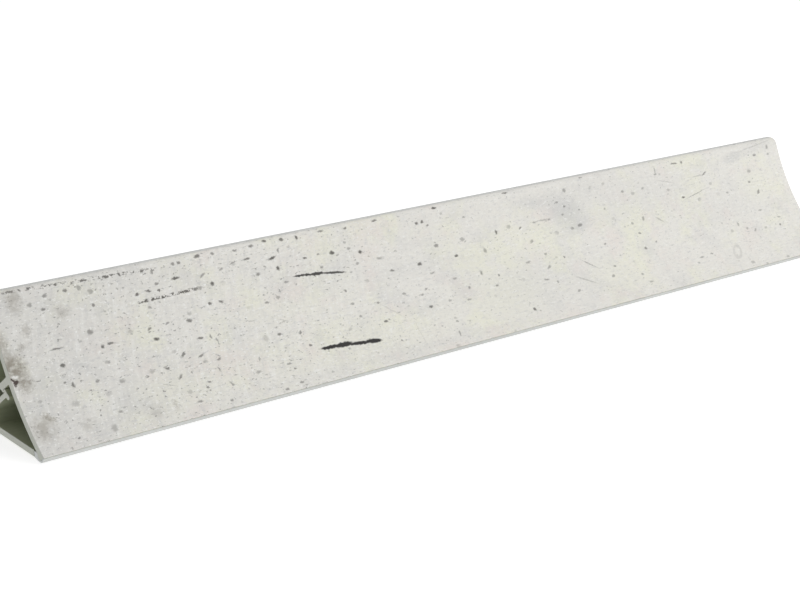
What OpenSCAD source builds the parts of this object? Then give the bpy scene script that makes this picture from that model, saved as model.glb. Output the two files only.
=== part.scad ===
// Two-part wall sealing trim for a worktop: a mounting rail fixed in the corner,
// and a hollow-faced cover that clips on to it. A cut length, open at both ends.
// X runs along the trim, Y towards the wall, Z up. The origin is the middle of its foot.
// Every section below is drawn in (y, z), with y = 0 at the nose and z = 0 on the worktop.

/* [Overall] */
// Length of the cut piece
length = 245; // [60:5:600]
// From the nose to the wall
depth = 24; // [20:0.5:30]
// From the worktop to the top of the cover
height = 30; // [25:0.5:36]

/* [Front face] */
// Radius of the hollow front face
face_r = 60.5; // [40:0.5:200]
// Height of the lower edge of the printed face
nose_h = 1.5; // [1.2:0.1:2]
// From the wall to the corner where the face would meet the top
top_w = 3.1; // [2.6:0.1:5]
// Radius that rounds that corner
top_r = 2.4; // [2.2:0.1:3]

/* [Cover] */
// Thickness of the cover's wall
cover_t = 1.6; // [1.2:0.1:2]
// Thickness of the printed film
film_t = 0.2; // [0.1:0.05:0.3]
// Thickness of the clip leg behind the face
leg_t = 1.6; // [1.2:0.1:2]
// Height at which the leg leaves the back of the face
leg_z = 13.7; // [12:0.1:16]
// Length of the hook's tooth along the leg
tooth_l = 1.5; // [1:0.1:2.5]
// Radius at the root of the leg
root_r = 0.4; // [0.2:0.1:0.6]

/* [Rail] */
// Thickness of the flange on the worktop
flange_t = 1.5; // [1:0.1:2]
// Thickness of the leg on the wall
wall_leg_t = 1.4; // [1:0.1:2]
// Height of the leg on the wall
wall_leg_h = 18; // [12:0.5:22]
// Room under the flange for tape or sealant
flange_lift = 0.4; // [0.3:0.05:0.8]
// Width of the heel that carries the rail along the wall
heel_w = 2.6; // [2:0.1:4]
// Thickness of the sloping stem
stem_t = 1.1; // [0.8:0.1:1.4]
// From the back of the face to the barbed head
head_in = 2.3; // [1.6:0.1:3]
// Thickness of the barbed head
head_t = 1; // [0.8:0.1:1.4]
// How far the upper barb stands up from the stem
barb_up = 0.5; // [0.4:0.05:0.7]
// How far the lower barb hangs below the stem
barb_down = 0.8; // [0.5:0.05:1.1]
// How far the lower barb sweeps forward
barb_sweep = 0.5; // [0:0.1:0.7]
// Radius in the corner between the flange and the leg on the wall
corner_r = 1; // [0.5:0.1:1.5]

/* [Lips] */
// Radius of the soft nose
nose_r = 1.6; // [1.5:0.05:2]
// Thickness of the soft skin round the tip of the cover
lip_t = 0.5; // [0.3:0.05:0.7]
// Width of the lower lip's flat foot
foot_w = 0.9; // [0.5:0.1:1.5]
// From the nose to the back of the lower lip
lower_lip_w = 4.4; // [4.2:0.1:5.5]
// Reach of the upper lip, from the cover to the wall
upper_lip_w = 1; // [0.7:0.1:1.3]
// Thickness of the upper lip where it meets the wall
upper_lip_t = 0.8; // [0.5:0.1:1.2]

/* [Screw holes] */
// Diameter of the holes in the flange
hole_d = 4; // [3:0.5:5]
// Distance between the holes
hole_pitch = 150; // [40:5:500]
// How many holes the cut piece has
hole_count = 2; // [1:1:6]
// From the nose to the line of holes
hole_y = 11.5; // [9:0.5:14]

/* [Clearances] */
// Between the hook and the barbed head, and between the tooth and the stem
clip_gap = 0.12; // [0.1:0.01:0.2]
// Between the lower lip and the front edge of the flange
lip_gap = 0.15; // [0.1:0.01:0.3]

/* [Hidden] */

// Facets round a whole circle, on the hollow face and on small rounds.
FACE_FN = 720;
SMALL_FN = 64;
// Spare size of the shapes that only trim others, and the depth that roots run in.
SPARE = 5;
ROOT_IN = 0.4;

// The hollow face is an arc from the nose to the top corner. Its centre lies in front.
face_foot = [0, nose_h];
face_head = [depth - top_w, height];
face_chord = norm(face_head - face_foot);
face_dir = (face_head - face_foot) / face_chord;
face_mid = (face_head + face_foot) / 2;
face_c = face_mid + [-face_dir[1], face_dir[0]] * sqrt(face_r * face_r - face_chord * face_chord / 4);

// Radii of the film's back and of the cover's back about the same centre.
film_back_r = face_r + film_t;
cover_back_r = film_back_r + cover_t;
skin_t = film_t + cover_t;

// Centre of the rounding between the face and the top.
top_c_z = height - top_r;
top_c = [face_c[0] + sqrt(pow(face_r + top_r, 2) - pow(top_c_z - face_c[1], 2)), top_c_z];
// Back edge of the film and of the cover's top, where the upper lip starts.
top_back = depth - upper_lip_w;

// Centre of the soft nose, one radius behind its own front.
nose_front = 0.3;
nose_c = [nose_front + nose_r, nose_r];
lip_top_z = nose_h - 0.08;

// The clip is drawn along its own axes: across the cover's wall, away from the face, and up.
leg_angle = asin((leg_z - face_c[1]) / cover_back_r);
leg_root = face_c + cover_back_r * [cos(leg_angle), sin(leg_angle)];
leg_under = -leg_t / 2;
barb_top = leg_under - clip_gap;
stem_top = barb_top - barb_up;
stem_mid = stem_top - stem_t / 2;
stem_under = stem_top - stem_t;
head_back = head_in + head_t;
tooth_in = head_back + clip_gap;
tooth_under = stem_top + clip_gap;
leg_end = tooth_in + tooth_l;

// Front edge of the flange and top of the flange.
flange_front = lower_lip_w + lip_gap;
flange_top = flange_lift + flange_t;
wall_leg_front = depth - wall_leg_t;
// The stem's middle line runs from the head to the middle of the leg on the wall.
clip_dir = [cos(leg_angle), sin(leg_angle)];
clip_up = [-clip_dir[1], clip_dir[0]];
stem_end = (depth - wall_leg_t / 2 - leg_root[0] - clip_up[0] * stem_mid) / clip_dir[0];

// Turns a section into the full length of the trim.
module along_trim() {
    translate([0, -depth / 2, 0]) rotate([90, 0, 90])
        linear_extrude(height = length, center = true) union() children();
}

// A rectangle between two corners.
module block(low, high) {
    translate(low) square(high - low);
}

// A section drawn along the clip's own axes, put in place.
module at_clip() {
    translate(leg_root) rotate(leg_angle) children();
}

// Fills the corner at the origin with a round of radius r, above or below the leg.
module root_blend(r, side) {
    difference() {
        block([-ROOT_IN, min(0, side * r)], [r, max(0, side * r)]);
        translate([r, side * r]) circle(r = r, $fn = SMALL_FN);
    }
}

// Everything behind the face and under the top, moved in by a distance.
module body_inside(inset) {
    tangent = (top_c - face_c) / norm(top_c - face_c);
    above = [-tangent[1], tangent[0]];
    far = face_r * 2;
    // Behind the face, below the line on which face and rounding meet.
    difference() {
        block([0, 0], [depth, height]);
        translate(face_c) circle(r = face_r + inset, $fn = FACE_FN);
        polygon([face_c, face_c + tangent * far, face_c + (tangent + above) * far, face_c + above * far]);
    }
    translate(top_c) circle(r = top_r - inset, $fn = SMALL_FN);
    block([top_c[0], 0], [depth, height - inset]);
}

// Printed film: a thin skin over the face, the rounding and the front of the top.
module film_section() {
    intersection() {
        difference() {
            body_inside(0);
            body_inside(film_t);
        }
        block([-SPARE, nose_h], [top_back, height + SPARE]);
    }
}

// Cover wall: the face's wall down to its rounded tip, the rounding and the short top.
module cover_wall_section() {
    intersection() {
        difference() {
            body_inside(film_t);
            body_inside(skin_t);
        }
        union() {
            block([0, lip_top_z], [top_back, height]);
            translate(nose_c) circle(r = nose_r - lip_t, $fn = SMALL_FN);
        }
    }
}

// Clip leg with the hook's tooth on its underside and a sloped lead-in at its end.
module leg_section() {
    at_clip() {
        polygon([
            [-ROOT_IN, leg_t / 2],
            [-ROOT_IN, leg_under],
            [tooth_in, leg_under],
            [tooth_in, tooth_under],
            [tooth_in + tooth_l / 3, tooth_under],
            [leg_end, 0],
            [leg_end, leg_t / 4],
            [leg_end - leg_t / 4, leg_t / 2],
        ]);
        translate([0, leg_t / 2]) root_blend(root_r, 1);
        translate([0, leg_under]) root_blend(root_r, -1);
    }
}

// Stem and barbed head: the upper barb is caught by the hook, the lower one steadies it.
module stem_section() {
    at_clip() polygon([
        [stem_end, stem_top],
        [head_back, stem_top],
        [head_back, barb_top],
        [head_in + head_t / 3, barb_top],
        [head_in, stem_mid],
        [head_in - barb_sweep, stem_under - barb_down / 2],
        [head_in - barb_sweep + head_t / 4, stem_under - barb_down],
        [head_back - barb_sweep, stem_under - barb_down],
        [head_back + head_t / 4, stem_under],
        [stem_end, stem_under],
    ]);
}

// Mounting rail: flange, heel, leg on the wall, sloping stem and barbed head.
module rail_section() {
    block([flange_front, flange_lift], [depth, flange_top]);
    block([depth - heel_w, 0], [depth, flange_top]);
    block([wall_leg_front, 0], [depth, wall_leg_h]);
    translate([wall_leg_front, flange_top]) rotate(90) root_blend(corner_r, 1);
    stem_section();
}

// Lower lip: soft nose under the film's edge, flat foot, and a bead up to the flange.
module lower_lip_section() {
    difference() {
        union() {
            intersection() {
                translate(nose_c) circle(r = nose_r, $fn = SMALL_FN);
                block([0, 0], [nose_c[0], lip_top_z]);
            }
            polygon([
                [nose_c[0], 0],
                [nose_c[0] + foot_w, 0],
                [lower_lip_w, flange_lift],
                [lower_lip_w, flange_top - lip_gap],
                [nose_c[0], flange_top - lip_gap],
            ]);
        }
        cover_wall_section();
        // Nothing of the lip lies in front of the cover's wall above its top edge.
        difference() {
            block([0, lip_top_z], [lower_lip_w, height]);
            body_inside(skin_t);
        }
    }
}

// Upper lip: soft wedge from the back of the cover's top to the wall.
module upper_lip_section() {
    polygon([
        [top_back, height - skin_t],
        [top_back, height],
        [depth - upper_lip_w / 4, height],
        [depth, height - upper_lip_t / 4],
        [depth, height - upper_lip_t],
    ]);
}

// Screw holes in a row along the flange, centred on the trim.
module screw_holes() {
    for (i = [0 : hole_count - 1])
        translate([(i - (hole_count - 1) / 2) * hole_pitch, hole_y - depth / 2, 0])
            cylinder(h = flange_top + SPARE, d = hole_d, center = true, $fn = SMALL_FN);
}

module base_rail() {
    color([0.67, 0.68, 0.64]) difference() {
        along_trim() rail_section();
        screw_holes();
    }
}

module cover_profile() {
    color([0.65, 0.65, 0.62]) along_trim() {
        cover_wall_section();
        leg_section();
    }
}

module decor_film() {
    color([0.83, 0.83, 0.80]) along_trim() film_section();
}

module upper_lip() {
    color([0.76, 0.77, 0.76]) along_trim() upper_lip_section();
}

module lower_lip() {
    color([0.75, 0.76, 0.75]) along_trim() lower_lip_section();
}

base_rail();
cover_profile();
decor_film();
upper_lip();
lower_lip();
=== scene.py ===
"""Two-part sealing trim for the corner between a worktop and a wall.

A mounting rail, a hollow-faced cover with a clip leg, its printed film and two soft lips.
X runs along the trim, Y towards the wall and Z up.
"""
import math

import bpy
from bpy.props import FloatProperty, FloatVectorProperty, IntProperty, PointerProperty
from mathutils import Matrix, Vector


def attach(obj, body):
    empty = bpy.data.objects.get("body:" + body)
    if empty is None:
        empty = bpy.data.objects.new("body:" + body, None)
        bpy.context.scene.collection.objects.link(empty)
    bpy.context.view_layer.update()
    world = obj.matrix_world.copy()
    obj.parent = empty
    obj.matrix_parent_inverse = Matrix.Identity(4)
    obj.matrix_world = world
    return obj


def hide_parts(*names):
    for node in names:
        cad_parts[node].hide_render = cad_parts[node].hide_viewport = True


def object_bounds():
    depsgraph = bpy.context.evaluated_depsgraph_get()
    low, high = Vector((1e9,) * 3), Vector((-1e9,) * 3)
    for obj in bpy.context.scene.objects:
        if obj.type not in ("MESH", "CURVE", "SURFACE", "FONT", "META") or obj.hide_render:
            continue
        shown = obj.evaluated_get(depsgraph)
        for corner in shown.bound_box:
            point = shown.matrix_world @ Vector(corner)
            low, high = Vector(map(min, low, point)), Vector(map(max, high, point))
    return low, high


bl_info = {
    "name": "Worktop Sealing Trim",
    "version": (1, 0, 0),
    "blender": (4, 5, 0),
    "location": "View3D > Sidebar > Trim",
    "description": "Builds a clip-on worktop sealing trim with a printed face",
    "category": "Mesh",
}

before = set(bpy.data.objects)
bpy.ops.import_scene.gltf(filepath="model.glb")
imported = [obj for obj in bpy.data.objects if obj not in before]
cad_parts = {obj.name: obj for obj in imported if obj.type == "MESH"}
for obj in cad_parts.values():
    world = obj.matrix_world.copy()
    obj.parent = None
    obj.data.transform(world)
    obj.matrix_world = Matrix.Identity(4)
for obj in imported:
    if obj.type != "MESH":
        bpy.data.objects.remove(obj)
CAD_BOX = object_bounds()
CAD_SIZE = CAD_BOX[1] - CAD_BOX[0]

MM = 0.001
MERGE = 0.001 * MM

# Facets on the long hollow face, on the roundings, on the small blends and on rounded edges.
FACE_STEPS = 56
ROUND_STEPS = 14
BLEND_STEPS = 6
EDGE_STEPS = 3
HOLE_SIDES = 64

# Edges sharper than the first are rounded, and edges below the second are shaded smooth.
SHARP_ANGLE = math.radians(25)
SMOOTH_ANGLE = math.radians(50)

# How deep the finishes are felt, and the refraction of vinyl.
FILM_TOOTH = 0.02 * MM
DIE_LINE_DEPTH = 0.03 * MM
VINYL_IOR = 1.5
FILM_SPECULAR = 0.25

# The stage.
FLOOR_SIDE = 12
FLOOR_DROP = 0.02 * MM
FLOOR_ROUGHNESS = 0.7
KEY_PLACE = Vector((0.60, -0.60, 0.50))
KEY_SIZE = 0.6
TOP_PLACE = Vector((0.35, 0.0, 1.1))
TOP_SIZE = 1.2
SENSOR_WIDTH = 36
NEAREST = 0.01
FARTHEST = 50


def metres(name, description, default):
    """A length that shows in the scene's units."""
    return FloatProperty(
        name=name, description=description, default=default, min=0, unit="LENGTH", precision=5
    )


def degrees(name, description, default):
    """An angle, given in degrees."""
    return FloatProperty(
        name=name, description=description, default=math.radians(default), subtype="ANGLE"
    )


def colour(name, description, default):
    """A colour, as linear red, green and blue."""
    return FloatVectorProperty(
        name=name, description=description, default=default, size=3, min=0, max=1, subtype="COLOR"
    )


def share(name, description, default):
    """A plain number between nothing and all."""
    return FloatProperty(
        name=name, description=description, default=default, min=0, max=1, subtype="FACTOR"
    )


def strength(name, description, default):
    """The strength of a light."""
    return FloatProperty(name=name, description=description, default=default, min=0)


class TrimSizes(bpy.types.PropertyGroup):
    """Sizes of the trim's cross-section, in metres."""

    length: metres("Length", "Length of the cut piece", CAD_SIZE.x)
    depth: metres("Depth", "From the nose to the wall", CAD_SIZE.y)
    height: metres("Height", "From the worktop to the top of the cover", CAD_SIZE.z)
    face_radius: metres("Face radius", "Radius of the hollow front face", 60.5 * MM)
    nose_height: metres("Nose height", "Height of the lower edge of the printed face", 1.5 * MM)
    top_width: metres("Top width", "From the wall to the corner of face and top", 3.1 * MM)
    top_radius: metres("Top radius", "Radius between the face and the top", 2.4 * MM)
    cover_wall: metres("Cover wall", "Thickness of the cover's wall", 1.6 * MM)
    film: metres("Film", "Thickness of the printed film", 0.2 * MM)
    leg: metres("Clip leg", "Thickness of the clip leg", 1.6 * MM)
    leg_height: metres("Leg height", "Where the leg leaves the face's back", 13.7 * MM)
    tooth: metres("Tooth", "Length of the hook's tooth", 1.5 * MM)
    leg_root: metres("Root radius", "Radius at the root of the leg", 0.4 * MM)
    flange: metres("Flange", "Thickness of the flange on the worktop", 1.5 * MM)
    flange_lift: metres("Flange lift", "Room under the flange", 0.4 * MM)
    wall_leg: metres("Wall leg", "Thickness of the leg on the wall", 1.4 * MM)
    wall_leg_height: metres("Wall leg height", "Height of the leg on the wall", 18 * MM)
    heel: metres("Heel", "Width of the rail's heel", 2.6 * MM)
    stem: metres("Stem", "Thickness of the sloping stem", 1.1 * MM)
    head_in: metres("Head inset", "From the face's back to the barbed head", 2.3 * MM)
    head: metres("Head", "Thickness of the barbed head", 1 * MM)
    barb_up: metres("Upper barb", "Rise of the upper barb", 0.5 * MM)
    barb_down: metres("Lower barb", "Drop of the lower barb", 0.8 * MM)
    barb_sweep: metres("Barb sweep", "Forward sweep of the lower barb", 0.5 * MM)
    corner_radius: metres("Corner radius", "Radius between flange and wall leg", 1 * MM)
    nose_radius: metres("Nose radius", "Radius of the soft nose", 1.6 * MM)
    nose_front: metres("Nose inset", "Setback of the soft nose", 0.3 * MM)
    lip_skin: metres("Lip skin", "Soft skin round the cover's tip", 0.5 * MM)
    foot: metres("Lip foot", "Width of the lower lip's flat foot", 0.9 * MM)
    lower_lip: metres("Lower lip", "From the nose to the back of the lower lip", 4.4 * MM)
    upper_lip: metres("Upper lip", "Reach of the upper lip", 1 * MM)
    upper_lip_edge: metres("Upper lip edge", "Thickness of the lip at the wall", 0.8 * MM)
    hole: metres("Hole", "Diameter of the screw holes", 4 * MM)
    hole_pitch: metres("Hole pitch", "Between the screw holes", 150 * MM)
    hole_line: metres("Hole line", "From the nose to the line of holes", 11.5 * MM)
    hole_count: IntProperty(name="Holes", description="How many screw holes", default=2, min=1, max=6)
    clip_gap: metres("Clip gap", "Between the hook and the barbed head", 0.12 * MM)
    lip_gap: metres("Lip gap", "Between the lower lip and the flange", 0.15 * MM)
    lip_groove: metres("Lip groove", "Between the film's edge and the lower lip", 0.14 * MM)
    edge_round: metres("Edge round", "Rounding of the plastic's edges", 0.08 * MM)
    film_round: metres("Film round", "Rounding of the film's edges", 0.05 * MM)
    lip_round: metres("Lip round", "Rounding of the soft lips' edges", 0.12 * MM)


class TrimFinish(bpy.types.PropertyGroup):
    """Colours and gloss of the print and the plastics."""

    plaster: colour("Plaster", "Ground colour of the printed face", (0.725, 0.71, 0.665))
    plaster_warm: colour("Warm cloud", "Yellowish clouds in the print", (0.740, 0.732, 0.628))
    plaster_rose: colour("Rose cloud", "Pinkish clouds in the print", (0.72, 0.675, 0.63))
    # Grey-blue clouds of the print, also laid as painted shade along the print's upper edge.
    plaster_cool_and_edge_shade: colour("Cool cloud", "Grey-blue clouds in the print", (0.525, 0.525, 0.52))
    chalk: colour("Chalk", "Light scratches and brush marks", (0.82, 0.82, 0.80))
    pit: colour("Pits", "Dark pits in the print", (0.085, 0.080, 0.070))
    crack: colour("Cracks", "The two bold cracks", (0.018, 0.016, 0.015))
    stain: colour("Stain", "Brown-grey stains at the left end", (0.285, 0.262, 0.220))
    chip: colour("Chip", "The dark chip at the left end", (0.070, 0.052, 0.046))
    # Painted shade: the skin's olive hue is the plastic's own, but its darkness is partly painted shade
    # for the shaded hollow inside the trim; the sawn ends keep the paler colour of the plastic.
    plastic: colour("Plastic", "Olive grey skin of the hard plastic", (0.345, 0.368, 0.262))
    plastic_dark_and_shade: colour("Plastic streaks", "Darker streaks in the skin", (0.30, 0.325, 0.215))
    plastic_cut: colour("Sawn plastic", "Lighter sawn ends of the hard plastic", (0.50, 0.515, 0.46))
    lip: colour("Soft lip", "Light grey soft plastic", (0.60, 0.61, 0.59))
    lip_dark: colour("Lip streaks", "Darker streaks in the soft plastic", (0.52, 0.53, 0.51))
    lip_cut: colour("Sawn lip", "Sawn ends of the soft plastic", (0.60, 0.62, 0.61))
    film_rough: share("Film roughness", "Roughness of the printed film", 0.42)
    plastic_rough: share("Plastic roughness", "Roughness of the hard plastic", 0.48)
    lip_rough: share("Lip roughness", "Roughness of the soft lips", 0.55)


class TrimStudio(bpy.types.PropertyGroup):
    """Camera, light and floor."""

    azimuth: degrees("Azimuth", "Camera's turn round the trim", -38.47)
    elevation: degrees("Elevation", "Camera's angle above the horizon", 17.59)
    distance: metres("Distance", "From the camera to its aim", 400 * MM)
    aim: FloatVectorProperty(
        name="Aim", description="Point that the camera looks at", default=(-0.01710, 0.00789, 0.00861),
        size=3, subtype="TRANSLATION", unit="LENGTH", precision=5,
    )
    lens: FloatProperty(
        name="Lens", description="Focal length of the camera", default=74.13, min=1, unit="CAMERA"
    )
    sky: strength("Sky", "Strength of the even light all round", 0.45)
    key: strength("Key", "Power of the soft light at the front, in watts", 3.0)
    fill: strength("Fill", "Power of the soft light from above, in watts", 6.0)
    floor: colour("Floor", "Colour of the floor", (0.45, 0.45, 0.45))
    glow: strength("Glow", "Light that the floor gives off", 0.7)


# ---- cross-section


def at(across, up):
    """A point of the cross-section."""
    return Vector((across, up))


def circles_meet(centre_a, radius_a, centre_b, radius_b):
    """The point where two circles cross, on the left of the line from a to b."""
    between = centre_b - centre_a
    along = (between.length_squared + radius_a**2 - radius_b**2) / (2 * between.length)
    away = math.sqrt(radius_a**2 - along**2)
    ahead = between.normalized()
    return centre_a + ahead * along + Vector((-ahead.y, ahead.x)) * away


class Section:
    """Named points of the cross-section: across from the nose, and up from the worktop."""

    def __init__(self, sizes):
        self.sizes = sizes
        foot = Vector((0, sizes.nose_height))
        head = Vector((sizes.depth - sizes.top_width, sizes.height))
        chord = head - foot
        outwards = Vector((-chord.y, chord.x)).normalized()
        self.face_centre = (foot + head) / 2 + outwards * math.sqrt(
            sizes.face_radius**2 - chord.length_squared / 4
        )
        self.film_back = sizes.face_radius + sizes.film
        self.cover_back = self.film_back + sizes.cover_wall
        self.skin = sizes.film + sizes.cover_wall

        rise = sizes.height - sizes.top_radius - self.face_centre.y
        reach = math.sqrt((sizes.face_radius + sizes.top_radius) ** 2 - rise**2)
        self.top_centre = self.face_centre + Vector((reach, rise))
        self.tangent = (self.top_centre - self.face_centre).normalized()
        self.top_back = sizes.depth - sizes.upper_lip

        self.nose_centre = Vector((sizes.nose_front + sizes.nose_radius, sizes.nose_radius))
        self.tip_radius = sizes.nose_radius - sizes.lip_skin
        self.lip_top = sizes.nose_height - sizes.lip_groove

        self.leg_angle = math.asin((sizes.leg_height - self.face_centre.y) / self.cover_back)
        self.leg_root = self.on_face(self.cover_back, self.leg_angle)
        self.leg_under = -sizes.leg / 2
        self.barb_top = self.leg_under - sizes.clip_gap
        self.stem_top = self.barb_top - sizes.barb_up
        self.stem_under = self.stem_top - sizes.stem
        self.head_back = sizes.head_in + sizes.head
        self.tooth_in = self.head_back + sizes.clip_gap
        self.flange_top = sizes.flange_lift + sizes.flange
        self.wall_leg_front = sizes.depth - sizes.wall_leg

    def on_face(self, radius, angle):
        """A point at an angle on a circle about the hollow face's centre."""
        return self.face_centre + Vector((math.cos(angle), math.sin(angle))) * radius

    def at_height(self, radius, height):
        """The point at a height on a circle about the hollow face's centre."""
        return self.on_face(radius, math.asin((height - self.face_centre.y) / radius))

    def at_tangent(self, radius):
        """The point of such a circle where the rounding towards the top starts."""
        return self.face_centre + self.tangent * radius

    def at_clip(self, away, up):
        """A point along the clip's own axes: away from the face's back, and up across the leg."""
        ahead = Vector((math.cos(self.leg_angle), math.sin(self.leg_angle)))
        return self.leg_root + ahead * away + Vector((-ahead.y, ahead.x)) * up

    def stem_at_wall(self, up):
        """Where a line along the stem meets the front of the wall leg."""
        start = self.at_clip(0, up)
        ahead = self.at_clip(1, up) - start
        return start + ahead * ((self.wall_leg_front - start.x) / ahead.x)

    def over_top(self, inset):
        """The top of the face, the rounding and the flat, going back, at an inset from the outside."""
        height = self.sizes.height - inset
        return [
            (self.top_centre, Vector((self.top_centre.x, height)), ROUND_STEPS),
            Vector((self.top_back, height)),
        ]

    def along_print(self, across, up):
        """How far a point lies from the nose, along the printed face, its rounding and its top."""
        sizes = self.sizes
        point = Vector((across, up))
        start = math.asin((sizes.nose_height - self.face_centre.y) / sizes.face_radius)
        end = math.atan2(self.tangent.y, self.tangent.x)
        spoke = point - self.face_centre
        if self.tangent.x * spoke.y - self.tangent.y * spoke.x <= 0:
            return sizes.face_radius * (math.atan2(spoke.y, spoke.x) - start)
        face = sizes.face_radius * (end - start)
        if across >= self.top_centre.x:
            return face + sizes.top_radius * (math.pi / 2 + end) + across - self.top_centre.x
        spoke = point - self.top_centre
        return face + sizes.top_radius * (math.pi + end - math.atan2(spoke.y, spoke.x))


# ---- modelling


def deselect_all():
    """Leaves nothing selected."""
    bpy.ops.object.select_all(action="DESELECT")


def apply_modifier(piece, kind, **settings):
    """Adds a modifier with its settings to the active piece and applies it."""
    modifier = piece.modifiers.new(kind.title(), kind)
    for name, value in settings.items():
        setattr(modifier, name, value)
    bpy.ops.object.modifier_apply(modifier=modifier.name)


class Pen:
    """Draws a closed outline across the trim in edit mode, then draws it out along the trim."""

    def __init__(self, name, sizes, start):
        self.sizes = sizes
        self.place = start
        deselect_all()
        bpy.ops.mesh.primitive_plane_add(size=MM, location=self.in_frame(start))
        self.piece = bpy.context.object
        self.piece.name = self.piece.data.name = name
        bpy.ops.object.transform_apply(location=True, rotation=True, scale=True)
        bpy.ops.object.mode_set(mode="EDIT")
        bpy.ops.mesh.select_mode(type="VERT")
        bpy.ops.mesh.merge(type="CENTER")

    def in_frame(self, point):
        """A point of the cross-section as a point in space, at the trim's left end."""
        return Vector((-self.sizes.length / 2, point.x - self.sizes.depth / 2, point.y))

    def line(self, point):
        """A straight line to a point of the cross-section."""
        step = self.in_frame(point) - self.in_frame(self.place)
        bpy.ops.mesh.extrude_vertices_move(TRANSFORM_OT_translate={"value": step})
        self.place = point

    def arc(self, centre, point, steps):
        """A round about a centre, by the shorter way, to a point of the cross-section."""
        before = self.place - centre
        after = point - centre
        angle = math.atan2(before.x * after.y - before.y * after.x, before.dot(after))
        bpy.ops.mesh.spin(steps=steps, angle=-angle, center=self.in_frame(centre), axis=(1, 0, 0))
        self.place = point

    def trace(self, *moves):
        """Lines to plain points, and rounds given as centre, end and steps, closed and drawn out."""
        start = self.place
        for move in moves:
            if isinstance(move, tuple):
                self.arc(*move)
            else:
                self.line(move)
        self.line(start)
        return self.draw_out()

    def draw_out(self):
        """Fills the outline and extrudes it by the trim's length."""
        bpy.ops.mesh.select_all(action="SELECT")
        bpy.ops.mesh.remove_doubles(threshold=MERGE)
        bpy.ops.mesh.edge_face_add()
        bpy.ops.mesh.extrude_region_move(TRANSFORM_OT_translate={"value": (self.sizes.length, 0, 0)})
        bpy.ops.mesh.select_all(action="SELECT")
        bpy.ops.mesh.normals_make_consistent(inside=False)
        bpy.ops.object.mode_set(mode="OBJECT")
        return self.piece


def round_edges(piece, width):
    """Rounds the edges that are sharper than the facets, and shades the piece smooth."""
    bpy.context.view_layer.objects.active = piece
    piece.select_set(True)
    bpy.ops.object.shade_smooth_by_angle(angle=SMOOTH_ANGLE)
    apply_modifier(
        piece,
        "BEVEL",
        width=width,
        segments=EDGE_STEPS,
        limit_method="ANGLE",
        angle_limit=SHARP_ANGLE,
        use_clamp_overlap=False,
        harden_normals=True,
        miter_outer="MITER_ARC",
    )


def cut_hole(piece, middle, diameter, depth):
    """Cuts an upright round hole through a piece."""
    deselect_all()
    bpy.ops.mesh.primitive_cylinder_add(
        vertices=HOLE_SIDES, radius=diameter / 2, depth=depth, location=middle
    )
    cutter = bpy.context.object
    bpy.ops.object.transform_apply(location=True, rotation=True, scale=True)
    deselect_all()
    bpy.context.view_layer.objects.active = piece
    piece.select_set(True)
    apply_modifier(piece, "BOOLEAN", operation="DIFFERENCE", solver="EXACT", object=cutter)
    bpy.data.meshes.remove(cutter.data)


# ---- node materials


class Wire:
    """A node's output. Maths on it adds Math nodes."""

    def __init__(self, finish, socket):
        self.finish = finish
        self.socket = socket

    def maths(self, operation, *values):
        """The output of a new Math node."""
        return self.finish.add("Math", {"operation": operation}, dict(enumerate(values)))

    def __add__(self, other):
        return self.maths("ADD", self, other)

    def __radd__(self, other):
        return self.maths("ADD", other, self)

    def __sub__(self, other):
        return self.maths("SUBTRACT", self, other)

    def __rsub__(self, other):
        return self.maths("SUBTRACT", other, self)

    def __mul__(self, other):
        return self.maths("MULTIPLY", self, other)

    def __rmul__(self, other):
        return self.maths("MULTIPLY", other, self)

    def __abs__(self):
        return self.maths("ABSOLUTE", self)

    def over(self, other):
        """The greater of two values."""
        return self.maths("MAXIMUM", self, other)


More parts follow.
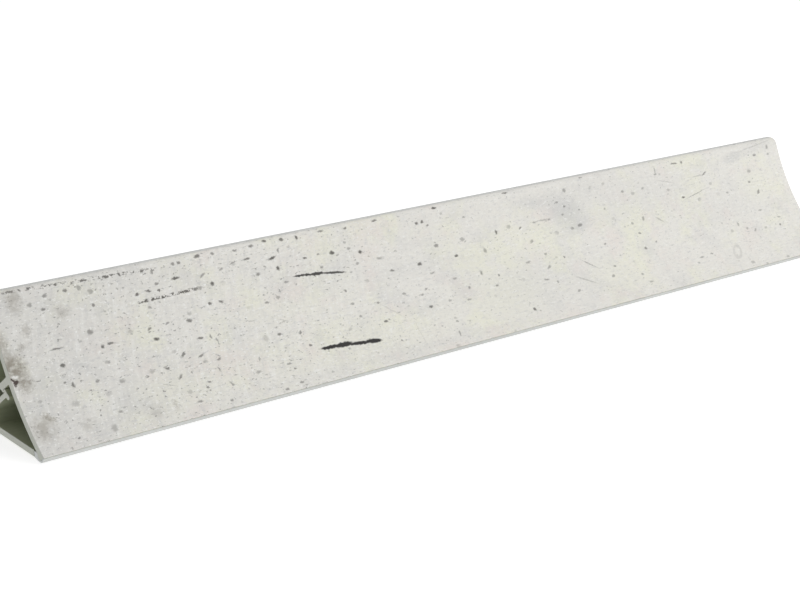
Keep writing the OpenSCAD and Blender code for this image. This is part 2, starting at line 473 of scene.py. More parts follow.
class Finish:
    """A node material. One method adds any node: its settings first, then its sockets."""

    def __init__(self, name):
        self.material = bpy.data.materials.new(name)
        self.material.use_nodes = True
        self.tree = self.material.node_tree
        self.tree.nodes.clear()

    def add(self, kind, settings=None, inputs=None, output=0):
        """Adds a shader node and returns one of its outputs."""
        node = self.tree.nodes.new("ShaderNode" + kind)
        for name, value in (settings or {}).items():
            setattr(node, name, value)
        for key, value in (inputs or {}).items():
            if isinstance(value, Wire):
                self.tree.links.new(value.socket, node.inputs[key])
            else:
                node.inputs[key].default_value = value
        return Wire(self, node.outputs[output]) if len(node.outputs) else None

    def other(self, wire, output):
        """Another output of the node that a wire comes from."""
        return Wire(self, wire.socket.node.outputs[output])

    def vector(self, x, y, z):
        """A vector from three numbers."""
        return self.add("CombineXYZ", inputs={0: x, 1: y, 2: z})

    def split(self, vector):
        """The three numbers of a vector or colour."""
        first = self.add("SeparateXYZ", inputs={0: vector})
        return [self.other(first, i) for i in range(3)]

    def scaled(self, vector, x, y, z=1.0):
        """A vector with each number multiplied."""
        return self.add("VectorMath", {"operation": "MULTIPLY"}, {0: vector, 1: (x, y, z)})

    def moved(self, vector, x, y, z=0.0):
        """A vector with something added."""
        return self.add("VectorMath", {"operation": "ADD"}, {0: vector, 1: (x, y, z)})

    def noise(self, vector, scale, detail=2.0, roughness=0.5):
        """Soft noise between 0 and 1, about 0.5."""
        inputs = {"Vector": vector, "Scale": scale, "Detail": detail, "Roughness": roughness}
        return self.add("TexNoise", inputs=inputs)

    def streaks(self, vector, long, wide, detail=3.0, roughness=0.7):
        """Noise with one scale along the face and another up it."""
        return self.noise(self.scaled(vector, long, wide), 1.0, detail, roughness)

    def turned(self, vector, angle):
        """A vector turned in the face, by an angle in degrees."""
        turn = (0, 0, math.radians(angle))
        return self.add("Mapping", inputs={"Vector": vector, "Rotation": turn})

    def wandering(self, vector, wander, long, wide):
        """A vector that strays by a random vector, so far along and so far up."""
        inputs = {0: wander, 1: (long, wide, 0), 2: vector}
        return self.add("VectorMath", {"operation": "MULTIPLY_ADD"}, inputs)

    def ramp(self, value, low, high, most=1.0):
        """0 at low, most at high, smooth between."""
        settings = {"interpolation_type": "SMOOTHSTEP", "clamp": False}
        inputs = {"Value": value, "From Min": low, "From Max": high, "To Max": most}
        return self.add("MapRange", settings, inputs)

    def blend(self, factor, first, second):
        """A mix of two colours."""
        paints = [c if isinstance(c, Wire) else (*c, 1.0) for c in (first, second)]
        inputs = {0: factor, 6: paints[0], 7: paints[1]}
        return self.add("Mix", {"data_type": "RGBA"}, inputs, output=2)

    def coat(self, paint, *layers):
        """Colours laid over a paint in turn, each with its factor."""
        for factor, top in layers:
            paint = self.blend(factor, paint, top)
        return paint

    def close(self, paint, roughness, height, bump_depth, **constants):
        """Principled shader, bump and output. Constants are named after sockets, with _ for a space."""
        bump = self.add("Bump", inputs={"Distance": bump_depth, "Height": height})
        inputs = {"Base Color": paint, "Roughness": roughness, "Normal": bump, "IOR": VINYL_IOR}
        inputs.update({name.replace("_", " "): value for name, value in constants.items()})
        shader = self.add("BsdfPrincipled", inputs=inputs)
        self.add("OutputMaterial", inputs={"Surface": shader})
        return self.material


def placed(finish, vector, x, y, long, wide, tilt=0.0):
    """Distance from a spot in its own measure: 1 on an ellipse of that half length and half width."""
    if tilt:
        inputs = {"Vector": vector, "Center": (x, y, 0), "Angle": -math.radians(tilt)}
        vector = finish.add("VectorRotate", {"rotation_type": "Z_AXIS"}, inputs)
    inputs = {0: vector, 1: (1 / long, 1 / wide, 0), 2: (-x / long, -y / wide, 0)}
    scaled = finish.add("VectorMath", {"operation": "MULTIPLY_ADD"}, inputs)
    return finish.add("VectorMath", {"operation": "LENGTH"}, {0: scaled}, output=1)


# Marks of the print, in millimetres from the left end and up along the face from the nose:
# place, half length, half width, darkness, and tilt in degrees if any.
CRACKS = (
    (74.6, 8.3, 2.5, 0.46, 1, -2), (78.2, 8.1, 2.4, 0.62, 1), (82.4, 7.5, 3, 0.42, 1, -7),
    (86.2, 7.2, 2.2, 0.58, 1, -8), (75, 26.3, 2.6, 0.28, 0.95, -4), (78.6, 26, 2, 0.38, 0.95, -3),
    (83.2, 25.4, 3.2, 0.26, 0.9, -8),
)
DARK_MARKS = (
    (4.9, 36.1, 0.6, 0.4, 0.6), (8.4, 32.3, 0.6, 0.5, 0.5), (16.8, 33.8, 0.5, 0.45, 0.7),
    (20, 33.8, 0.5, 0.6, 0.5), (11.1, 30.9, 0.55, 0.35, 0.7), (22.3, 29.6, 0.4, 0.4, 0.7),
    (32.8, 29.9, 0.5, 0.35, 0.85, 20), (35.6, 30.1, 0.7, 0.3, 0.8, -15),
    (38.2, 29.8, 0.4, 0.35, 0.85), (37.5, 34, 0.3, 0.6, 0.6), (38, 31.3, 0.5, 0.3, 0.6),
    (42.8, 31.6, 1.1, 0.32, 0.9), (49.4, 31, 0.9, 0.25, 0.6, 30), (54.4, 31.5, 0.6, 0.3, 0.55, 20),
    (57.8, 32.4, 1, 0.2, 0.6, 15), (43, 34.8, 0.4, 0.4, 0.65), (44.4, 34.8, 0.5, 0.4, 0.7),
    (49.4, 35.5, 0.9, 0.45, 0.8, 20), (53.3, 35.4, 0.5, 0.4, 0.65), (59, 35, 0.6, 0.3, 0.65),
    (63.4, 35.3, 0.7, 0.4, 0.75), (67.3, 36, 0.6, 0.45, 0.85), (71.7, 35.4, 0.6, 0.45, 0.8),
    (75.8, 35.1, 0.4, 0.5, 0.85), (82.8, 35.5, 0.8, 0.3, 0.65), (89.6, 35, 0.5, 0.3, 0.7),
    (51.3, 28.8, 0.55, 0.5, 0.9), (61.5, 32.6, 0.9, 0.24, 0.8, 5), (63.4, 28.7, 0.6, 0.35, 0.65),
    (68, 31.6, 1.1, 0.3, 0.9, 15), (68.9, 29.1, 0.5, 0.5, 0.9), (70.1, 33.1, 0.35, 0.6, 0.6, -20),
    (76.6, 30.1, 0.6, 0.25, 0.8), (80.4, 30.3, 0.4, 0.3, 0.65), (84.3, 30, 0.7, 0.5, 0.9),
    (92.1, 28.8, 0.6, 0.4, 0.9, -30), (11.6, 22.3, 1.6, 0.24, 0.7), (19.9, 24.2, 0.8, 0.6, 0.6),
    (21.6, 20.6, 0.4, 0.4, 0.85), (23.6, 20.9, 0.8, 0.28, 0.75), (11.7, 18.6, 0.6, 0.45, 0.85),
    (10.8, 14.9, 0.35, 0.3, 0.65), (12.4, 14, 0.35, 0.7, 0.75), (17.8, 13.7, 0.5, 0.35, 0.55),
    (11.3, 10, 1, 0.7, 0.25), (19, 10.4, 0.8, 0.6, 0.25), (17, 2.6, 0.7, 1, 0.4, -20),
    (8.9, 2.4, 0.3, 0.25, 0.7), (33.3, 22.1, 0.6, 0.3, 0.7, 30), (37.8, 22.4, 0.6, 0.25, 0.6, 20),
    (34.1, 19.6, 0.7, 0.4, 0.9), (43.1, 21.9, 0.7, 0.45, 0.75), (49.4, 24.6, 0.45, 0.4, 0.8),
    (52.2, 24.5, 0.6, 0.35, 0.8, -20), (44.2, 17.6, 0.8, 0.3, 0.8), (46.8, 17.4, 0.3, 0.6, 0.6),
    (48, 16, 0.2, 0.9, 0.5, 10), (38.8, 14.9, 0.9, 0.35, 0.75, 40), (34, 12.7, 0.6, 0.3, 0.75),
    (42.8, 13.7, 0.8, 0.3, 0.7, 20), (46.6, 12, 0.6, 0.3, 0.65, 30),
    (36.1, 10.1, 0.8, 0.3, 0.7, 40), (45.6, 9.7, 0.25, 0.6, 0.6, 20), (42, 7.4, 0.4, 0.3, 0.65),
    (46.9, 5.7, 0.3, 0.7, 0.5, 30), (37.8, 3.5, 0.8, 0.3, 0.6), (44.9, 1.8, 0.4, 0.3, 0.6),
    (54.4, 6.8, 0.7, 0.35, 0.5), (56, 9.7, 0.2, 0.7, 0.5, -20), (58.8, 1, 0.5, 0.4, 0.6),
    (63.1, 1.7, 0.6, 0.35, 0.6), (62.5, 6.9, 0.7, 0.3, 0.55), (63.4, 22, 0.6, 0.3, 0.6),
    (63.4, 14.2, 0.6, 0.35, 0.75), (59.7, 14, 0.7, 0.8, 0.22), (68.8, 13.5, 0.6, 0.35, 0.7, 45),
    (69.9, 9.9, 0.5, 0.3, 0.75, -20), (70, 25.6, 0.7, 0.25, 0.6), (99.4, 22.8, 0.8, 0.3, 0.7, -10),
    (107.8, 22.9, 0.75, 0.4, 0.85), (119.3, 22.9, 0.65, 0.3, 0.85), (116.9, 35.6, 0.8, 0.4, 0.95),
    (98.4, 35.4, 0.8, 0.3, 0.75, 10), (110.3, 32.7, 0.5, 0.35, 0.8),
    (112.1, 32.8, 0.5, 0.35, 0.85, 30), (113.5, 31.7, 0.4, 0.3, 0.65), (92, 11.1, 0.6, 0.35, 0.8),
    (106.1, 12, 0.6, 0.35, 0.8), (92.2, 16, 0.5, 0.25, 0.6), (84.7, 20.6, 0.35, 0.4, 0.65),
    (133.8, 26.5, 0.4, 0.6, 0.8), (141.8, 26.2, 0.55, 0.3, 0.7, 30), (140.2, 35.9, 0.9, 0.3, 0.8),
    (158.4, 29.3, 0.45, 0.35, 0.7), (161.7, 23.6, 0.9, 0.4, 0.6, 10),
    (124.8, 17.3, 0.35, 0.6, 0.6), (129.7, 15.7, 0.3, 0.3, 0.7), (152.4, 16.4, 0.35, 0.3, 0.8),
    (135, 4.7, 0.5, 0.4, 0.8, 20), (143.6, 11.6, 0.9, 0.25, 0.55, -10),
    (166.8, 35.9, 0.7, 0.25, 0.6), (180.6, 13.5, 0.5, 0.4, 0.65), (201.7, 24.9, 0.6, 0.28, 0.9),
    (201.6, 34.5, 1.4, 0.24, 0.7, -3), (204.6, 34.4, 0.4, 0.4, 0.65),
    (212.3, 30.1, 1.1, 0.25, 0.75, 25), (193.6, 32.6, 0.6, 0.3, 0.5), (229.2, 25.1, 0.6, 0.3, 0.6),
    (231.4, 21.8, 1, 0.4, 0.6, 45), (234.5, 32.3, 0.7, 0.35, 0.6), (240.5, 33.9, 0.5, 0.7, 0.5),
    (202.3, 7.4, 0.6, 0.3, 0.55), (198, 7.1, 0.9, 0.25, 0.5), (229, 16.4, 0.8, 0.3, 0.45),
    (234.9, 13.2, 0.7, 0.25, 0.5, -10), (85.2, 17.2, 0.6, 0.3, 0.55),
    (86, 13.8, 0.4, 0.35, 0.5, 30), (89.1, 30.2, 0.5, 0.35, 0.5), (90.4, 26.3, 0.5, 0.35, 0.5),
    (96.9, 26.4, 0.8, 0.35, 0.5), (100.3, 16.7, 0.6, 0.35, 0.5, -20),
    (105.2, 15.4, 0.5, 0.25, 0.5, 20), (106.9, 16.6, 0.7, 0.25, 0.5, 10),
    (110.6, 20.1, 0.8, 0.2, 0.5, 10), (110, 3.5, 0.3, 0.9, 0.5, -15), (111.2, 6.8, 0.4, 0.3, 0.5),
    (116.4, 17.5, 0.7, 0.3, 0.45), (119.4, 14.4, 0.4, 0.3, 0.55), (117.8, 11.4, 0.7, 0.25, 0.5),
    (127.8, 13.2, 0.5, 0.3, 0.6), (128.6, 22.6, 0.5, 0.7, 0.5, 20),
    (140.3, 17.2, 0.9, 0.3, 0.45, 10), (146.2, 14.7, 0.8, 0.35, 0.5, 30),
    (146.9, 18.2, 0.5, 0.35, 0.5), (146.6, 10.3, 0.4, 0.4, 0.5), (146.8, 26.9, 0.6, 0.25, 0.5),
    (152, 26.8, 0.5, 0.25, 0.5), (151.6, 6.6, 0.6, 0.3, 0.5, 20), (156.3, 30.7, 0.5, 0.3, 0.5),
    (159.7, 33.3, 0.6, 0.5, 0.5), (165, 8.2, 0.6, 0.4, 0.5, 30), (167.6, 17.2, 0.5, 0.35, 0.55),
    (167.2, 10.7, 0.5, 0.3, 0.6), (174.7, 6.6, 0.5, 0.4, 0.5), (176, 3.9, 0.8, 0.3, 0.45),
    (179.8, 21, 0.5, 0.4, 0.45), (180, 29.9, 0.5, 0.35, 0.5), (187.6, 29.6, 0.5, 0.35, 0.45),
    (184.3, 21.6, 0.4, 0.8, 0.5, -30), (185.3, 14.6, 0.5, 0.3, 0.5, 20),
    (193.8, 33.6, 0.25, 1.2, 0.4), (217.8, 13.9, 0.4, 0.6, 0.45),
    (223.2, 11.1, 0.8, 0.3, 0.45, 35), (240.3, 31.8, 0.5, 0.4, 0.45),
)
LONG_MARKS = (
    (159.4, 12.9, 3.4, 0.16, 0.5, -38), (155.8, 8.9, 4, 0.3, 0.3, -30),
    (207, 25.1, 5.2, 0.14, 0.55, 11), (190, 20.3, 2, 0.35, 0.35, -38), (149.6, 27, 4.2, 0.2, 0.35),
    (196.6, 30.2, 3.6, 0.14, 0.3, -14), (210, 29.9, 3.4, 0.16, 0.3, 2),
    (236, 35, 9, 0.18, 0.25, 7), (66, 17.1, 1.6, 0.14, 0.4, -22),
    (57.8, 18.7, 1.8, 0.14, 0.4, -14), (32.8, 9, 2, 0.14, 0.35, -22), (99.6, 6.6, 0.16, 4.2, 0.14),
    (95, 13.4, 3.4, 0.2, 0.2, -42),
)
GREY_CLOUDS = (
    (158.5, 28, 9, 6, 0.95, -20), (161, 24, 7, 3.2, 0.85, 10), (149, 31.5, 9, 2.2, 0.65, -8),
    (225.5, 33, 5, 1.8, 0.85, 8), (236, 34.5, 8, 2.2, 0.45, 6), (167, 31, 3, 2.4, 0.35),
    (19, 21.5, 3.4, 8, 0.35), (92, 2.4, 60, 1.6, 0.3), (110, 22, 30, 3, 0.25, -3),
    (207, 18, 5, 3.4, 0.3, 30), (142, 12, 26, 9, 0.28), (185, 27, 36, 9, 0.28, -3),
    (214, 20, 24, 8, 0.24),
)
WARM_CLOUDS = (
    (34, 7, 14, 7, 0.6), (82, 8, 34, 7, 0.6), (128, 11, 16, 9, 0.6), (168, 8, 12, 7, 0.6),
    (70, 20, 22, 5, 0.35), (232, 24, 9, 6, 0.6),
)
STAINS = (
    (1.2, 20.4, 3, 3.4, 1), (2.6, 17, 1.8, 2.4, 0.9), (0, 25.5, 1.8, 3.4, 0.6),
    (2.6, 6.2, 2.8, 3, 0.6), (4.6, 8.4, 1.5, 0.8, 0.8, -30), (5.2, 34, 2, 3.2, 0.5),
    (6.2, 27.4, 1, 1.7, 0.45), (4.8, 24.2, 1.8, 0.7, 0.45, 20), (12, 4.8, 2, 1.4, 0.3),
    (15, 29.6, 2, 1.6, 0.4), (27, 3.6, 2.4, 2, 0.25), (32.2, 4.2, 0.7, 1.6, 0.4),
)
CHIP = (
    (0.3, 18, 0.5, 0.24, 1, -50), (0.9, 17.4, 0.65, 0.42, 1, 20), (0.5, 16.9, 0.34, 0.5, 0.8),
)
CHIP_EDGE = ((1, 18.5, 0.8, 0.35, 0.7, -15),)

# A faint ring near the right end: place, half length, half width and tilt.
RING = (211.8, 6.1, 1.2, 2.1, -38)


def gathered(finish, vector, marks, outer, inner):
    """The darkest of many marks at each place, each fading from its outer to its inner measure."""
    found = None
    for x, y, long, wide, dark, *tilt in marks:
        near = placed(finish, vector, x, y, long, wide, *tilt)
        mark = finish.ramp(near, outer, inner, dark)
        found = mark if found is None else found.over(mark)
    return found


def clouded_plaster_and_top_shade(finish, looks, spot, soft_spot):
    """The print's ground: warm, rose and cool clouds, greyer at the left end, and with painted shade
    along the upper edge.
    """
    along, up, _ = finish.split(spot)
    ground = finish.noise(spot, 0.07, 4.0, 0.6)
    warm = finish.ramp(ground, 0.46, 0.66).over(gathered(finish, soft_spot, WARM_CLOUDS, 1.3, 0.2))
    rose = finish.noise(finish.moved(spot, 300, 40), 0.09, 4.0, 0.6)
    cool = finish.noise(finish.moved(spot, 70, 200), 0.10, 5.0, 0.65)
    # Cool clouds, and a grey that grows towards the left end.
    clouds = finish.ramp(cool, 0.46, 0.72, 0.36) + finish.ramp(along, 60.0, -10.0, 0.30)
    clouds = clouds.over(gathered(finish, soft_spot, GREY_CLOUDS, 1.3, 0.1) * 0.7)
    # Painted shade: the print is darkened along its upper edge, where the rounding towards the top
    # turns away from the light.
    clouds = clouds.over(finish.ramp(up, 36.5, 37.1, 0.65))
    return finish.coat(
        looks.plaster,
        (warm, looks.plaster_warm),
        (finish.ramp(rose, 0.50, 0.70, 0.85), looks.plaster_rose),
        (clouds, looks.plaster_cool_and_edge_shade),
    )


def worked_over(finish, looks, paint, spots, brush, mottle, left):
    """Brush marks, strongest at the left, long light scratches, fine mottle, dabs and light flecks."""
    spot, rough_spot = spots
    scratch = finish.streaks(finish.turned(spot, -18), 0.14, 1.6, 3.0, 0.6)
    dabs = finish.streaks(finish.moved(rough_spot, 44, 12), 0.45, 1.7)
    flecks = finish.streaks(finish.moved(spot, 90, 10), 1.1, 1.5)
    return finish.coat(
        paint,
        (finish.ramp(brush, 0.50, 0.76) * (0.12 + left * 0.40), looks.chalk),
        (finish.ramp(brush, 0.50, 0.28) * (0.10 + left * 0.26), looks.plaster_cool_and_edge_shade),
        (finish.ramp(scratch, 0.58, 0.74, 0.35), looks.chalk),
        (finish.ramp(mottle, 0.50, 0.28) * (0.45 + left * 0.10), looks.plaster_cool_and_edge_shade),
        (finish.ramp(dabs, 0.44, 0.30, 0.60), looks.plaster_cool_and_edge_shade),
        (finish.ramp(dabs, 0.57, 0.70, 0.60), looks.chalk),
        (finish.ramp(flecks, 0.58, 0.66) * (0.45 + left * 0.35), looks.chalk),
    )


def scattered_pits(finish, spot, rough_spot, left):
    """Small dark specks, and rounder pits that are drawn out a little along the trim."""
    crowd = finish.ramp(finish.noise(spot, 0.13, 3.0, 0.6), 0.36, 0.58)
    specks = finish.streaks(finish.moved(spot, 15, 55), 0.9, 1.5)
    edge = 0.632 - (left * 0.012 + crowd * 0.03)
    pits = finish.ramp(specks, edge, edge + 0.07) * (0.40 + left * 0.20)

    grid = finish.scaled(rough_spot, 0.13, 0.19, 0)
    settings = {"feature": "F1", "voronoi_dimensions": "2D"}
    near = finish.add("TexVoronoi", settings, {"Vector": grid, "Scale": 1.0})
    red, green, blue = finish.split(finish.other(near, 1))
    edge = 0.025 + red * 0.075
    pit = finish.ramp(near, edge * 1.3, edge * 0.6) * finish.ramp(green, 0.55, 0.45)
    return pits.over(pit * (0.25 + blue * 0.45) * crowd)


def dash_rows(finish, spot, rough_spot):
    """Two broken rows of short pits along the left part of the face."""
    along = finish.split(spot)[0]
    up = finish.split(rough_spot)[1]
    dashes = finish.streaks(spot, 0.95, 1.1, 3.0, 0.65)
    short = finish.ramp(abs(up - along * 0.02 - 27.5), 0.48, 0.16, 0.95)
    short = short * finish.ramp(along, 32.2, 33.0) * finish.ramp(along, 51.5, 45.0)
    long = finish.ramp(abs(up + along * 0.045 - 36.2), 0.55, 0.20, 0.85)
    long = long * finish.ramp(along, 44.0, 36.0)
    return (short * finish.ramp(dashes, 0.46, 0.52)).over(long * finish.ramp(dashes, 0.51, 0.58))


def print_material(looks):
    """Aged, pitted plaster as printed on the film: clouds, brush marks, pits, stains and two cracks,
    with painted shade along its upper edge.
    """
    finish = Finish("printed_plaster")
    spot = finish.add("UVMap", {"uv_map": "print"})
    left = finish.ramp(finish.split(spot)[0], 130.0, 50.0)

    # The outline of every mark wanders by a few tenths of a millimetre, and of a cloud by more.
    wander = finish.other(finish.noise(spot, 1.8, 4.0, 0.75), 1)
    wander = finish.moved(wander, -0.5, -0.5, -0.5)
    rough_spot = finish.wandering(spot, wander, 1.3, 0.9)
    soft_spot = finish.wandering(spot, wander, 5, 4)

    brush = finish.streaks(finish.turned(spot, 12), 0.75, 0.13, 4.0, 0.65)
    mottle = finish.streaks(rough_spot, 0.8, 1.3, 4.0, 0.7)
    paint = clouded_plaster_and_top_shade(finish, looks, spot, soft_spot)
    paint = worked_over(finish, looks, paint, (spot, rough_spot), brush, mottle, left)

    pits = scattered_pits(finish, spot, rough_spot, left)
    pits = pits.over(dash_rows(finish, spot, rough_spot))
    pits = pits.over(gathered(finish, rough_spot, DARK_MARKS, 1.3, 0.5))
    pits = pits.over(gathered(finish, rough_spot, LONG_MARKS, 1.2, 0.3))
    ring = abs(placed(finish, rough_spot, *RING) - 1)
    pits = pits.over(finish.ramp(ring, 0.40, 0.10, 0.16))
    grime = finish.ramp(finish.noise(spot, 0.6, 4.0, 0.6), 0.22, 0.58)
    paint = finish.coat(
        paint,
        (pits, looks.pit),
        (gathered(finish, soft_spot, STAINS, 1.4, 0.2) * grime, looks.stain),
        (gathered(finish, rough_spot, CHIP, 1.2, 0.8), looks.chip),
        (gathered(finish, rough_spot, CHIP_EDGE, 1.2, 0.6), looks.chalk),
        (gathered(finish, rough_spot, CRACKS, 1.25, 0.8), looks.crack),
    )

    # The film has a fine tooth and follows the brush marks a little.
    tooth = finish.noise(spot, 2.4, 3.0, 0.65)
    rough = looks.film_rough + (mottle - 0.5) * 0.18 + pits * 0.12
    height = tooth * 0.5 + brush * 0.5
    return finish.close(paint, rough, height, FILM_TOOTH, Specular_IOR_Level=FILM_SPECULAR)


def plastic_material(name, paints, rough, half_length):
    """Extruded plastic: faint die lines along the trim, and paler, rougher sawn ends."""
    light, dark, sawn = paints
    finish = Finish(name)
    coordinates = finish.add("TexCoord", output=3)
    spot = finish.scaled(coordinates, 1 / MM, 1 / MM, 1 / MM)
    along, across, up = finish.split(spot)
    die_lines = finish.noise(finish.vector(along * 0.012, across * 1.6, up * 1.6), 1.0, 3.0, 0.6)
    patches = finish.noise(finish.vector(along * 0.05, across * 0.12, up * 0.12), 1.0, 3.0, 0.55)
    grain = finish.noise(spot, 3.5, 2.0, 0.6)
    cut = finish.ramp(abs(along), half_length / MM - 0.20, half_length / MM - 0.04)
    sawing = finish.vector(along * 0.2, across * 0.7 + up * 0.5, up * 4.5 - across * 6.0)
    saw = finish.noise(sawing, 1.0, 3.0, 0.65)

    paint = finish.coat(
        dark,
        (finish.ramp(die_lines * 0.55 + patches * 0.45, 0.36, 0.64), light),
        (finish.ramp(grain, 0.62, 0.75, 0.25), dark),
        (cut * (1 - finish.ramp(saw, 0.60, 0.35, 0.22)), sawn),
    )
    height = die_lines * (1 - cut) * 0.35 + saw * cut + grain * (0.10 + cut * 0.25)
    rough = rough + (die_lines - 0.5) * 0.15 + cut * 0.14
    return finish.close(paint, rough, height, DIE_LINE_DEPTH)


def hard_plastic(name, scene):
    """The hard plastic of the rail and the cover, its skin darkened partly as painted shade for the
    hollow inside.
    """
    looks = scene.trim_finish
    paints = (looks.plastic, looks.plastic_dark_and_shade, looks.plastic_cut)
    return plastic_material(name, paints, looks.plastic_rough, scene.trim_sizes.length / 2)


def dress(piece, material):
    """Gives a piece its only material."""
    piece.data.materials.clear()
    piece.data.materials.append(material)


def lay_print(piece, section):
    """UV map in millimetres: along the trim from its left end, and up along the printed face."""
    layer = piece.data.uv_layers.new(name="print")
    for loop in piece.data.loops:
        place = piece.data.vertices[loop.vertex_index].co
        height = section.along_print(place.y + section.sizes.depth / 2, place.z)
        layer.data[loop.index].uv = ((place.x + section.sizes.length / 2) / MM, height / MM)
    piece.data.uv_layers.active = layer


# ---- operators


class TRIM_OT_rail(bpy.types.Operator):
    """Models the mounting rail: flange, wall leg, sloping stem and barbed head"""

    bl_idname = "trim.rail"
    bl_label = "Mounting rail"

    def execute(self, context):
        sizes = context.scene.trim_sizes
        section = Section(sizes)
        clip = section.at_clip
        wall_front = section.wall_leg_front
        corner = at(wall_front - sizes.corner_radius, section.flange_top + sizes.corner_radius)
        heel_front = sizes.depth - sizes.heel
        flange_front = sizes.lower_lip + sizes.lip_gap
        barb_front = sizes.head_in - sizes.barb_sweep
        barb_under = section.stem_under - sizes.barb_down
        rail = Pen("mounting_rail", sizes, at(flange_front, sizes.flange_lift)).trace(
            at(heel_front, sizes.flange_lift),
            at(heel_front, 0),
            at(sizes.depth, 0),
            at(sizes.depth, sizes.wall_leg_height),
            at(wall_front, sizes.wall_leg_height),
            section.stem_at_wall(section.stem_top),
            clip(section.head_back, section.stem_top),
            clip(section.head_back, section.barb_top),
            clip(sizes.head_in + sizes.head / 3, section.barb_top),
            clip(sizes.head_in, section.stem_top - sizes.stem / 2),
            clip(barb_front, section.stem_under - sizes.barb_down / 2),
            clip(barb_front + sizes.head / 4, barb_under),
            clip(section.head_back - sizes.barb_sweep, barb_under),
            clip(section.head_back + sizes.head / 4, section.stem_under),
            section.stem_at_wall(section.stem_under),
            at(wall_front, corner.y),
            (corner, at(corner.x, section.flange_top), BLEND_STEPS),
            at(flange_front, section.flange_top),
        )
        for index in range(sizes.hole_count):
            along = (index - (sizes.hole_count - 1) / 2) * sizes.hole_pitch
            middle = (along, sizes.hole_line - sizes.depth / 2, sizes.flange_lift + sizes.flange / 2)
            cut_hole(rail, middle, sizes.hole, sizes.flange * 3)
        round_edges(rail, sizes.edge_round)
        dress(rail, hard_plastic("rail_plastic", context.scene))
        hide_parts("base_rail")
        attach(rail, "rail")
        return {"FINISHED"}


class TRIM_OT_cover(bpy.types.Operator):
    """Models the cover: the wall behind the face, its rounded tip and top, and the hooked clip leg"""

    bl_idname = "trim.cover"
    bl_label = "Cover"

    def execute(self, context):
        sizes = context.scene.trim_sizes
        section = Section(sizes)
        clip = section.at_clip
        half = sizes.leg / 2
        root = sizes.leg_root
        leg_end = section.tooth_in + sizes.tooth
        # Each root blend starts on the wall's back, one radius beside the leg.
        turn = math.asin((half + root) / section.cover_back)
        sink = section.cover_back * (math.cos(turn) - 1)
        nose = section.nose_centre
        shelf = nose.x - math.sqrt(section.tip_radius**2 - (section.lip_top - nose.y) ** 2)
        tip_back = circles_meet(section.face_centre, section.cover_back, nose, section.tip_radius)
        start = section.at_height(section.film_back, section.lip_top)
        inside = sizes.height - section.skin
        cover = Pen("clip_cover", sizes, start).trace(
            (section.face_centre, section.at_tangent(section.film_back), FACE_STEPS),
            *section.over_top(sizes.film),
            at(section.top_back, inside),
            at(section.top_centre.x, inside),
            (section.top_centre, section.at_tangent(section.cover_back), ROUND_STEPS),
            (
                section.face_centre,
                section.on_face(section.cover_back, section.leg_angle + turn),
                FACE_STEPS // 2,
            ),
            (clip(sink + root, half + root), clip(sink + root, half), BLEND_STEPS),
            clip(leg_end - sizes.leg / 4, half),
            clip(leg_end, sizes.leg / 4),
            clip(leg_end, 0),
            clip(section.tooth_in + sizes.tooth / 3, section.stem_top + sizes.clip_gap),
            clip(section.tooth_in, section.stem_top + sizes.clip_gap),
            clip(section.tooth_in, -half),
            clip(sink + root, -half),
            (
                clip(sink + root, -half - root),
                section.on_face(section.cover_back, section.leg_angle - turn),
                BLEND_STEPS,
            ),
            (section.face_centre, tip_back, FACE_STEPS // 2),
            (nose, at(shelf, section.lip_top), ROUND_STEPS),
        )
        round_edges(cover, sizes.edge_round)
        dress(cover, hard_plastic("cover_plastic", context.scene))
        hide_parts("cover_profile")
        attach(cover, "cover")
        return {"FINISHED"}


class TRIM_OT_film(bpy.types.Operator):
    """Models the printed film over the face, its rounding and the front of the top"""

    bl_idname = "trim.film"
    bl_label = "Printed film"

    def execute(self, context):
        sizes = context.scene.trim_sizes
        section = Section(sizes)
        start = section.at_height(sizes.face_radius, sizes.nose_height)
        film = Pen("printed_film", sizes, start).trace(
            (section.face_centre, section.at_tangent(sizes.face_radius), FACE_STEPS),
            *section.over_top(0),
            at(section.top_back, sizes.height - sizes.film),
            at(section.top_centre.x, sizes.height - sizes.film),
            (section.top_centre, section.at_tangent(section.film_back), ROUND_STEPS),
            (section.face_centre, section.at_height(section.film_back, sizes.nose_height), FACE_STEPS),
        )
        round_edges(film, sizes.film_round)
        lay_print(film, section)
        dress(film, print_material(context.scene.trim_finish))
        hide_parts("decor_film")
        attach(film, "cover")
        return {"FINISHED"}


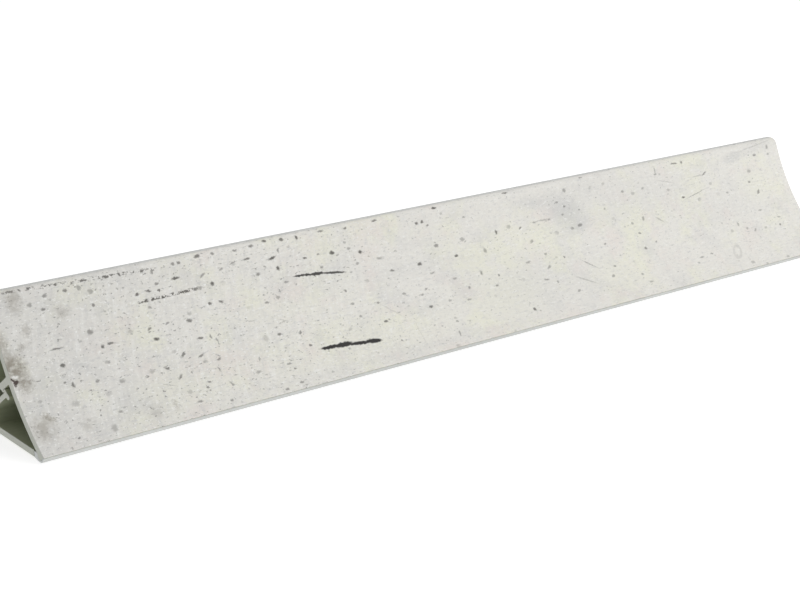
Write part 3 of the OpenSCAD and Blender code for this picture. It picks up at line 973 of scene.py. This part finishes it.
class TRIM_OT_lips(bpy.types.Operator):
    """Models the two soft lips that seal the cover to the wall and to the worktop"""

    bl_idname = "trim.lips"
    bl_label = "Soft lips"

    def execute(self, context):
        sizes = context.scene.trim_sizes
        section = Section(sizes)
        nose = section.nose_centre
        drop = section.lip_top - nose.y
        start = at(nose.x - math.sqrt(sizes.nose_radius**2 - drop**2), section.lip_top)
        shelf = at(nose.x - math.sqrt(section.tip_radius**2 - drop**2), section.lip_top)
        tip_back = circles_meet(section.face_centre, section.cover_back, nose, section.tip_radius)
        bead_top = section.flange_top - sizes.lip_gap
        lower = Pen("soft_lower_lip", sizes, start).trace(
            (nose, at(nose.x, 0), ROUND_STEPS),
            at(nose.x + sizes.foot, 0),
            at(sizes.lower_lip, sizes.flange_lift),
            at(sizes.lower_lip, bead_top),
            section.at_height(section.cover_back, bead_top),
            tip_back,
            (nose, shelf, ROUND_STEPS),
        )

        edge = sizes.upper_lip_edge / 4
        start = at(section.top_back, sizes.height)
        upper = Pen("soft_upper_lip", sizes, start).trace(
            at(sizes.depth - sizes.upper_lip / 4, sizes.height),
            at(sizes.depth, sizes.height - edge),
            at(sizes.depth, sizes.height - sizes.upper_lip_edge),
            at(section.top_back, sizes.height - section.skin),
        )

        looks = context.scene.trim_finish
        paints = (looks.lip, looks.lip_dark, looks.lip_cut)
        material = plastic_material("soft_lip", paints, looks.lip_rough, sizes.length / 2)
        for lip, node in ((lower, "lower_lip"), (upper, "upper_lip")):
            deselect_all()
            round_edges(lip, sizes.lip_round)
            dress(lip, material)
            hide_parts(node)
            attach(lip, "cover")
        return {"FINISHED"}


class TRIM_OT_studio(bpy.types.Operator):
    """Sets up the pale floor, the soft lights and the camera"""

    bl_idname = "trim.studio"
    bl_label = "Studio"

    def execute(self, context):
        studio = context.scene.trim_studio
        deselect_all()
        bpy.ops.mesh.primitive_plane_add(size=FLOOR_SIDE, location=(0, 0, -FLOOR_DROP))
        floor = context.object
        floor.name = "studio_floor"
        paint = Finish("studio_floor")
        spot = paint.add("TexCoord", output=3)
        tone = paint.noise(spot, 2.0, 2.0) * 0.01
        shade = paint.blend(tone, studio.floor, (1, 1, 1))
        glow = {"Emission Color": (1, 1, 1, 1), "Emission Strength": studio.glow}
        dress(floor, paint.close(shade, FLOOR_ROUGHNESS, tone, 0.01 * MM, **glow))

        world = bpy.data.worlds.new("studio_sky")
        world.use_nodes = True
        background = world.node_tree.nodes["Background"]
        background.inputs["Color"].default_value = (1, 1, 1, 1)
        background.inputs["Strength"].default_value = studio.sky
        context.scene.world = world

        centre = Vector(studio.aim)
        for name, place, size, power in (
            ("key_light", KEY_PLACE, KEY_SIZE, studio.key),
            ("top_light", TOP_PLACE, TOP_SIZE, studio.fill),
        ):
            bpy.ops.object.light_add(type="AREA", location=place)
            lamp = context.object
            lamp.name = name
            lamp.data.size = size
            lamp.data.energy = power
            lamp.rotation_euler = (centre - place).to_track_quat("-Z", "Y").to_euler()

        turn, rise = studio.azimuth, studio.elevation
        level = math.cos(rise)
        back = Vector((math.sin(turn) * level, -math.cos(turn) * level, math.sin(rise)))
        bpy.ops.object.camera_add(location=centre + back * studio.distance)
        camera = context.object
        camera.name = "studio_camera"
        camera.rotation_euler = (-back).to_track_quat("-Z", "Y").to_euler()
        camera.data.lens = studio.lens
        camera.data.sensor_width = SENSOR_WIDTH
        camera.data.clip_start = NEAREST
        camera.data.clip_end = FARTHEST
        context.scene.camera = camera
        context.scene.view_settings.view_transform = "Standard"
        return {"FINISHED"}


class TRIM_PT_sidebar(bpy.types.Panel):
    """Lists the trim's pieces and the studio"""

    bl_idname = "TRIM_PT_sidebar"
    bl_label = "Worktop Trim"
    bl_space_type = "VIEW_3D"
    bl_region_type = "UI"
    bl_category = "Trim"

    def draw(self, context):
        for group in ("trim_sizes", "trim_finish", "trim_studio"):
            values = getattr(context.scene, group)
            box = self.layout.box()
            for name in values.__annotations__:
                box.prop(values, name)
        for operator in OPERATORS:
            self.layout.operator(operator.bl_idname)


GROUPS = {"trim_sizes": TrimSizes, "trim_finish": TrimFinish, "trim_studio": TrimStudio}
OPERATORS = (TRIM_OT_rail, TRIM_OT_cover, TRIM_OT_film, TRIM_OT_lips, TRIM_OT_studio)
CLASSES = (*GROUPS.values(), *OPERATORS, TRIM_PT_sidebar)


def register():
    for cls in CLASSES:
        bpy.utils.register_class(cls)
    for name, group in GROUPS.items():
        setattr(bpy.types.Scene, name, PointerProperty(type=group))


def unregister():
    for name in GROUPS:
        delattr(bpy.types.Scene, name)
    for cls in reversed(CLASSES):
        bpy.utils.unregister_class(cls)


def main():
    """Builds every piece in order, then the stage."""
    register()
    bpy.ops.trim.rail()
    bpy.ops.trim.cover()
    bpy.ops.trim.film()
    bpy.ops.trim.lips()
    bpy.ops.trim.studio()


if __name__ == "__main__":
    main()
